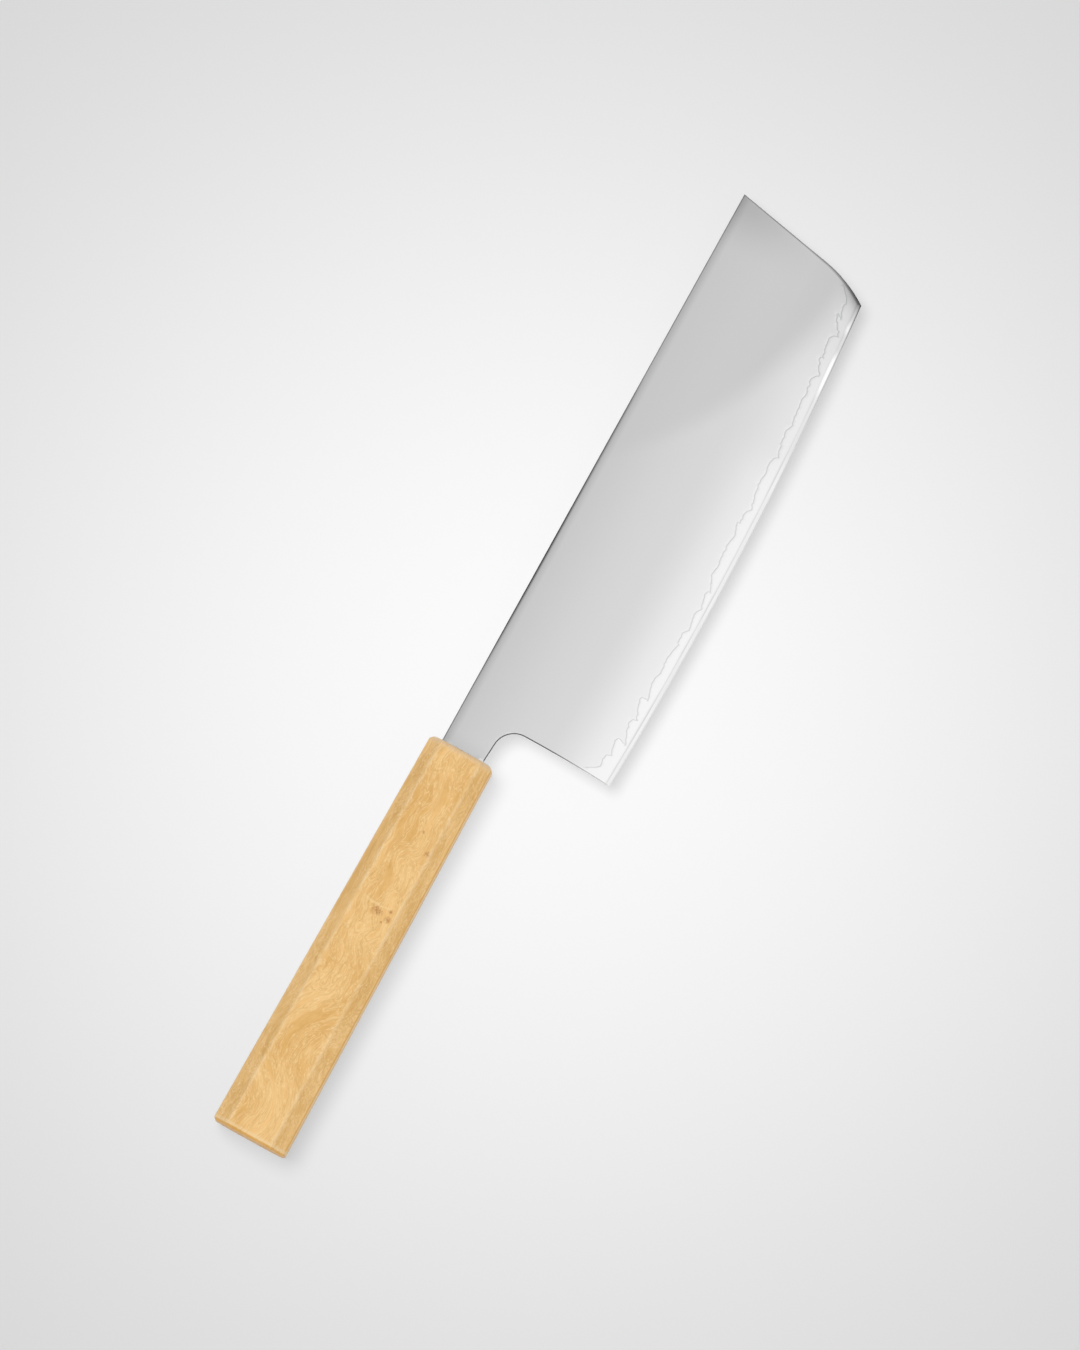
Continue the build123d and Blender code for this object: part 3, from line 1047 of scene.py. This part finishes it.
def make_wood(name, burl=True):
    """Pale gold wood. Without burl it is the plain straight-grained wood of the dowel."""
    material, where, surface = new_material(name)
    fibres = curled(where) if burl else where
    colour, thread = grain(fibres)
    if burl:
        ragged = cloud(where, 1.6, detail=4.0, roughness=0.7)
        for centre, radius in pips:
            colour = blend(pip_mark(where, ragged, centre, radius), colour, pip_brown)
        colour = blend(flecks(fibres), colour, fleck_brown)
        for level, strength, line_colour in wisp_lines:
            colour = blend(wisps(fibres, ragged, level) * strength, colour, line_colour)
        colour = blend(scar(where, ragged), colour, scar_colour)
        patchy = ramp(cloud(where, 0.3), (0.35, 0.35), (0.65, 1.0))
        # Paler long corners: partly rubbed wood, partly painted highlight
        colour = blend(mark(where, "rubbed_and_highlit") * patchy * corner_rub_and_highlight, colour, rubbed_and_highlight_colour)
        colour = end_grain_and_painted_light(where, low_corner_shade(where, colour))
    join(colour, surface["Base Color"])
    join(ramp(thread, (0.3, 0.50), (0.7, 0.40)), surface["Roughness"])
    roughen(surface, thread, 0.12, 0.0001)
    print(name, "has", len(material.node_tree.nodes), "nodes")
    return material


handle_wood = make_wood("figured_wood")
dowel_wood = make_wood("plain_wood", burl=False)

# %% [markdown]
# ## The two steels
# The cladding is soft steel with a fine satin polish, and the core is harder and comes out brighter on the
# stones. Both are metals, so they mirror the room. Their base colour also carries painted reflection and
# painted shade: darker towards the spine, darker again in a zone near the tip and at the neck, near-black
# along the rounded corners, which the mesh marks with an attribute of its own, and painted highlights on the
# bevel. The seam's grey line comes from another attribute. A photograph of the room could do this too, but
# tones laid along the blade stay put in every view.

# %% Painted reflections and shade along the blade
zone_start = 95.0               # where the darker painted zone begins at the spine
zone_run = 40.0                 # how quickly its border falls away from the spine
zone_depth = 46.6
zone_softness = 5.0
# how much darker the painted zone is
zone_painted_darkening = 0.145
deepest = blade_height
seam_tint = 0.33                # how grey the seam's line is near the heel
# The seam's own grey, and the near-black of the corners' painted reflection
seam_grey, corner_reflection_black = (0.30, 0.31, 0.32, 1), (0.05, 0.05, 0.055, 1)
# how strong the bevel's painted highlights are
painted_flash_strength = 0.35
scratch_scale = (0.05, 5.0, 5.0)        # the polish's scratches run along the blade
# Painted reflection: how bright the base colour is, by depth below the spine as a share of the deepest
# place, darkest at the spine
painted_reflection_by_depth = (
    (0.0, 0.62), (0.024, 0.73), (0.048, 0.83), (0.06, 0.86), (0.20, 0.90),
    (0.34, 0.938), (0.48, 0.958), (0.70, 0.965), (0.82, 1.0),
)
# Painted reflection: how bright the bevel and the darker strip above it are, by height above the edge as a
# share of two bevels
painted_bevel_reflection_by_height = ((0.0, 0.96), (0.15, 1.08), (0.30, 1.08), (0.42, 0.87), (0.56, 0.94), (0.70, 1.0))
# Where the bevel's painted highlights lie, as a share of the way to the tip
painted_flash_by_length = (
    (0.76, 0.0), (0.80, 1.0), (0.83, 1.0), (0.855, 0.0), (0.875, 0.0), (0.89, 0.8), (0.91, 0.0),
)


def zone_shade(x, depth):
    """Painted reflection: a darker zone, whose border leaves the spine and falls towards the tip."""
    fall = calc("EXPONENT", calc("MAXIMUM", x - zone_start, 0) / -zone_run)
    left = (1 - fall) * zone_depth - depth * deepest
    inside = ramp(left * (0.5 / zone_softness) + 0.5, (0.0, 0.0), (1.0, 1.0))
    return inside * ramp(depth, (0.04, 0.12), (0.60, 1.0), smooth=False) * zone_painted_darkening


def tip_shade(along, depth):
    """Painted reflection and shade: the upper and the lower part of the tip, and the neck beside the handle,
    are a little darker.
    """
    upper = ramp(along, (0.90, 0.0), (1.0, 0.22)) * ramp(depth, (0.0, 1.0), (0.6, 0.1))
    low = ramp(depth, (0.54, 0.0), (0.72, 0.5), (0.9, 1.0), smooth=False)
    lower = ramp(along, (0.60, 0.0), (0.68, 0.05), (0.76, 0.05), (0.90, 0.15)) * low
    return upper + lower + ramp(along, (0.0, 0.07), (0.03, 0.0))


def spine_shade(along, depth):
    """Painted reflection: the dark line along the spine, darkest along its middle stretch."""
    strength = ramp(along, (0.05, 0.0), (0.32, 0.7), (0.60, 0.35), (0.68, 0.0))
    return ramp(depth, (0.006, 1.0), (0.02, 0.0)) * strength


def rounding_shade(where, along, depth):
    """Painted reflection: the lower end of the tip's front is darker, where its easing widens."""
    inwards = calc("ABSOLUTE", tip_radius - flat_distance(where, tip_centre))
    growing = ramp(depth, (0.66, 0.0), (0.87, 1.0)) * ramp(along, (0.85, 0.0), (0.9, 1.0))
    return calc("EXPONENT", inwards / (growing * 1.5 + 0.3) * -1) * growing * 0.8


print("the blade's tones are ready")


# %% Bevel and corners
def painted_bevel_shine(x, y, along):
    """Painted reflection on the bevel: bright, with a darker line above it, two painted highlights near the
    tip, and darker along the very edge there.
    """
    edge = calc("POWER", x - belly_x, 2) * (0.5 / edge_radius) + lowest_y
    height = (y - edge) / (2 * bevel_height)
    uneven = ramp(cloud(gather(x * 0.05, 0.0, 0.0), 1.0, detail=2.0), (0.35, 0.2), (0.65, 1.0))
    shine = (ramp(height, *painted_bevel_reflection_by_height) - 1) * uneven + 1
    on_bevel = ramp(height, (0.10, 0.0), (0.20, 1.0), (0.42, 1.0), (0.56, 0.0))
    shine += ramp(along, *painted_flash_by_length) * on_bevel * painted_flash_strength
    # darker along the very edge towards the tip
    edge_darkening = ramp(along, (0.62, 0.0), (0.84, 0.45), (0.93, 0.85))
    return shine * (1 - ramp(height, (0.0, 1.0), (0.17, 0.0)) * edge_darkening)


def painted_corner_darkness(along, depth):
    """Painted reflection: how dark the eased corner's line is, most along the middle of the spine, and round
    the choil.
    """
    spine_line = ramp(along, (0.0, 0.4), (0.32, 1.0), (0.52, 0.6), (0.68, 0.2))
    heel_line = ramp(along, (0.08, 1.0), (0.12, 0.1)) * ramp(depth, (0.55, 1.0), (0.85, 0.1))
    tip_line = ramp(depth, (0.0, 0.25), (0.45, 0.22), (0.60, 0.35), (0.80, 0.60))
    front_line = blend(ramp(along, (0.80, 0.0), (0.84, 1.0)), heel_line, tip_line)
    return blend(ramp(depth, (0.02, 1.0), (0.05, 0.0)), front_line, spine_line)


def painted_reflection_tone(where, x, y, along, depth):
    """How bright the base colour is, from all the painted reflection, shade and highlights laid on it."""
    lost = zone_shade(x, depth) + tip_shade(along, depth)
    lost += rounding_shade(where, along, depth) + spine_shade(along, depth)
    return ramp(depth, *painted_reflection_by_depth, smooth=False) * painted_bevel_shine(x, y, along) * (1 - lost)


def make_steel(name, tone, roughness):
    """Satin steel whose colour carries painted reflection and shade: tone is how much of the light it
    mirrors.
    """
    material, where, surface = new_material(name)
    x, y, _ = split(where)
    along, depth = x / tip_x, (spine_y - y) / deepest
    # The base colour carries painted reflection, shade and highlights
    painted_tone = painted_reflection_tone(where, x, y, along, depth) * tone
    tint = mark(where, "seam") * ramp(along, (0.55, seam_tint), (0.92, 1.7 * seam_tint))
    colour = blend(tint, gather(painted_tone, painted_tone, painted_tone), seam_grey)
    # Painted reflection: the eased corners are darkened towards near-black
    line = mark(where, "eased") * painted_corner_darkness(along, depth)
    join(blend(line, colour, corner_reflection_black), surface["Base Color"])
    scratches = cloud(vector_calc("MULTIPLY", where, scratch_scale), 1.0, detail=5.0, roughness=0.65)
    join((scratches - 0.5) * 0.05 + roughness, surface["Roughness"])
    surface["Metallic"].default_value = 1.0
    roughen(surface, scratches, 0.04, 0.00005)
    print(name, "has", len(material.node_tree.nodes), "nodes")
    return material


cladding_steel = make_steel("satin_cladding", 0.77, 0.15)
core_steel = make_steel("bright_core", 0.81, 0.13)

# %% [markdown]
# ## Adhesive and sealer
# Both are resins. The adhesive is clear amber and stays hidden in the dowel's slot. The sealer is
# brown, wiped flush in the mouth of the bore, so it is matt and a little uneven.

# %% Resins
def make_resin(name, colour, roughness):
    """A cured resin with a slightly cloudy colour and a soft surface."""
    material, where, surface = new_material(name)
    cloudy = cloud(where, 0.8)
    darker = tuple(value * 0.75 for value in colour)
    join(ramp(cloudy, (0.3, darker), (0.7, colour)), surface["Base Color"])
    join(cloudy * 0.15 + roughness, surface["Roughness"])
    roughen(surface, cloudy, 0.2, 0.0001)
    return material


adhesive = make_resin("amber_adhesive", (0.60, 0.36, 0.10), 0.2)
sealer = make_resin("brown_sealer", (0.13, 0.07, 0.03), 0.5)
print("the resins are", adhesive.name, "and", sealer.name)

# %% [markdown]
# ## Putting the pieces in place
# A piece says which body it rides on and which node of the drawing it stands for; the slot of the record its
# finish belongs to is listed with it but not used. The hidden pieces keep their own solids and only get a
# finish. The knife is left out of diffuse rays, so it takes none of the room's light from the paper.

# %% Pieces of the blade
def dress(piece, material, slot):
    """Gives a piece its finish. The slot is not used."""
    piece.data.materials.clear()
    piece.data.materials.append(material)
    piece.visible_diffuse = False


def settle(piece, stands_for, material, slot):
    """Puts a dressed piece on the knife's body in place of a node, its wide faces ruling the shading."""
    modifier = piece.modifiers.new("weighted", "WEIGHTED_NORMAL")
    modifier.keep_sharp = True
    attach(piece, "root")
    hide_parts(stands_for)
    dress(piece, material, slot)
    print(piece.name, "stands for", stands_for)


for name, made, stands_for, material, slot in (
    ("blade_core", core_mesh, "core_steel", core_steel, "core_steel"),
    ("blade_cladding_right", cladding_right_mesh, "cladding_right", cladding_steel, "cladding_steel"),
    ("blade_cladding_left", cladding_left_mesh, "cladding_left", cladding_steel, "cladding_steel"),
):
    settle(put(name, made), stands_for, material, slot)

# %% The handle and the hidden pieces
handle_sharp_angle = math.radians(30)
settings = handle_sizes | {"Front centre": front_centre, "Material": handle_wood}
handle = grow("handle_octagon", planed_handle, settings)
mesh = bmesh.new()
mesh.from_mesh(handle.data)
bmesh.ops.recalc_face_normals(mesh, faces=mesh.faces)
for edge in mesh.edges:
    edge.smooth = edge.calc_face_angle(0) < handle_sharp_angle
hand_over(mesh, handle.data, "the handle")
settle(handle, "handle_body", handle_wood, "handle_wood")

for stands_for, material, slot in (
    ("dowel_right", dowel_wood, "dowel_wood"),
    ("dowel_left", dowel_wood, "dowel_wood"),
    ("tang_epoxy", adhesive, "epoxy"),
    ("mouth_seal", sealer, "seal"),
):
    dress(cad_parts[stands_for], material, slot)

# %% [markdown]
# ## The floor
# The knife lies on its left side. The floor is level and touches the lowest corner of the handle's butt, so
# the blade hangs level about 9 mm above it, as the even shadow along its edge shows. The floor is white
# paper with a painted pool of light in its colour: brightest under the knife and softly grey further out, as
# a lamp over the middle would leave it.

# %% Floor
floor_size = 8.0
floor_gap = 0.0001
painted_pool_centre = (31.55, -9.97)    # the middle of the painted pool of light, from the handle's front centre
painted_pool_radius = 206.0
far_tone = 0.63
near_tone = 0.985

paper, where, surface = new_material("white_paper")
# The painted pool of light: the paper's colour is palest at the pool's middle
tone = bell(flat_distance(where, painted_pool_centre) / painted_pool_radius) * (near_tone - far_tone) + far_tone
join(gather(tone, tone, tone), surface["Base Color"])
surface["Roughness"].default_value = 1.0
surface["Specular IOR Level"].default_value = 0.0

floor_z = handle_low.z - floor_gap
signs = ((-1, -1), (1, -1), (1, 1), (-1, 1))
corners = [(x * floor_size / 2, y * floor_size / 2, floor_z) for x, y in signs]
floor_mesh = bpy.data.meshes.new("floor")
floor_mesh.from_pydata(corners, [], [(0, 1, 2, 3)])
floor_mesh.materials.append(paper)
put("floor", floor_mesh)
print("the blade's middle hangs", round((front_centre.z - floor_z) / millimetre, 1), "mm above the floor")

# %% [markdown]
# ## Light
# A shiny blade looks like what it mirrors, so the light is built for its reflections first. The room is
# a pale dome. Straight overhead it brightens from the spine's side to the edge's side, and the flat of
# the blade and its ground face each mirror a part of that. The rest of the upper dome is dimmer on the
# spine's side, which sets the handle's facets apart, and the lower part is dimmer still. One wide soft
# lamp from the spine's side throws the shadow on the paper. The blade doesn't mirror that lamp, and
# the knife blocks none of the dome's light on the paper, so the only shadow is the lamp's soft one.

# %% Room
cap_tone = 1.03                 # the dome's upper part
cap_slant = -0.66               # how much dimmer it is on the spine's side
band_tone = 0.38                # the dome's lower part, all round
band_slant = -0.05
low_tone = 0.7                  # just above the horizon
# Straight overhead, where the blade mirrors it: from the spine's side to the edge's side
overhead = (
    (0.195, 0.81), (0.239, 0.93), (0.291, 0.98), (0.342, 1.05),
    (0.38, 1.12), (0.44, 1.16), (0.65, 1.08), (0.82, 1.0),
)

world = bpy.data.worlds.new("pale_room")
bpy.context.scene.world = world
world.use_nodes = True
_, y, z = split(node(world.node_tree, "ShaderNodeTexCoord", output="Generated"))
dome = blend(ramp(z, (0.60, 0.0), (0.76, 1.0)), y * band_slant + band_tone, y * cap_slant + cap_tone)
dome = blend(ramp(z, (0.02, 0.0), (0.09, 1.0)), (low_tone, low_tone, low_tone, 1), dome)
tone = blend(ramp(z, (0.86, 0.0), (0.93, 1.0)), dome, ramp(y * -1.75 + 0.3, *overhead))
background = world.node_tree.nodes["Background"].inputs
join(tone, background["Color"])
background["Strength"].default_value = 1.0
print("the room has", len(world.node_tree.nodes), "nodes")

# %% Lamp
knife_turn = math.radians(61.15)        # the knife's axis against the picture's lower border
image_right = Vector((math.cos(knife_turn), -math.sin(knife_turn), 0))
image_up = Vector((math.sin(knife_turn), math.cos(knife_turn), 0))
lamp_lean = math.radians(13)

lamp_data = bpy.data.lights.new("soft_lamp", "SUN")
lamp_data.energy = 0.86
lamp_data.angle = math.radians(27)
lamp = put("soft_lamp", lamp_data)
lamp.visible_glossy = False     # the blade mirrors the dome, not the lamp
sideways = (image_up - image_right).normalized()
lamp_way = sideways * math.sin(lamp_lean) + Vector((0, 0, math.cos(lamp_lean)))
lamp.rotation_euler = lamp_way.to_track_quat("Z", "Y").to_euler()
print("the lamp leans", round(math.degrees(lamp_lean)), "degrees towards the spine's side")

# %% [markdown]
# ## Camera
# The picture was taken from far above with a long lens. The camera hangs a little towards the butt and
# the cutting edge, which is why a sliver of the butt's end and of the handle's lower facet shows.

# %% Camera
picture_width = 0.3135          # how much of the scene the picture is wide, at the blade
picture_height = picture_width * 1350 / 1080
camera_distance = 8.0
lean_to_butt = math.radians(3.3)
lean_to_edge = math.radians(3.0)
aim = Vector((0.00375, 0.00696, front_centre.z))

camera_data = bpy.data.cameras.new("camera")
camera_data.sensor_width = 36.0
camera_data.lens = camera_data.sensor_width * camera_distance / picture_height
camera_data.clip_end = 5 * camera_distance
camera = put("camera", camera_data)
back = Vector((-math.tan(lean_to_butt), -math.tan(lean_to_edge), 1)).normalized()
right = (image_right - image_right.dot(back) * back).normalized()
turned = Matrix((right, back.cross(right), back)).transposed()
camera.matrix_world = Matrix.Translation(aim + back * camera_distance) @ turned.to_4x4()
bpy.context.scene.camera = camera
bpy.context.scene.view_settings.view_transform = "Standard"
bpy.context.scene.view_settings.look = "None"
print("the lens is", round(camera_data.lens), "mm long")
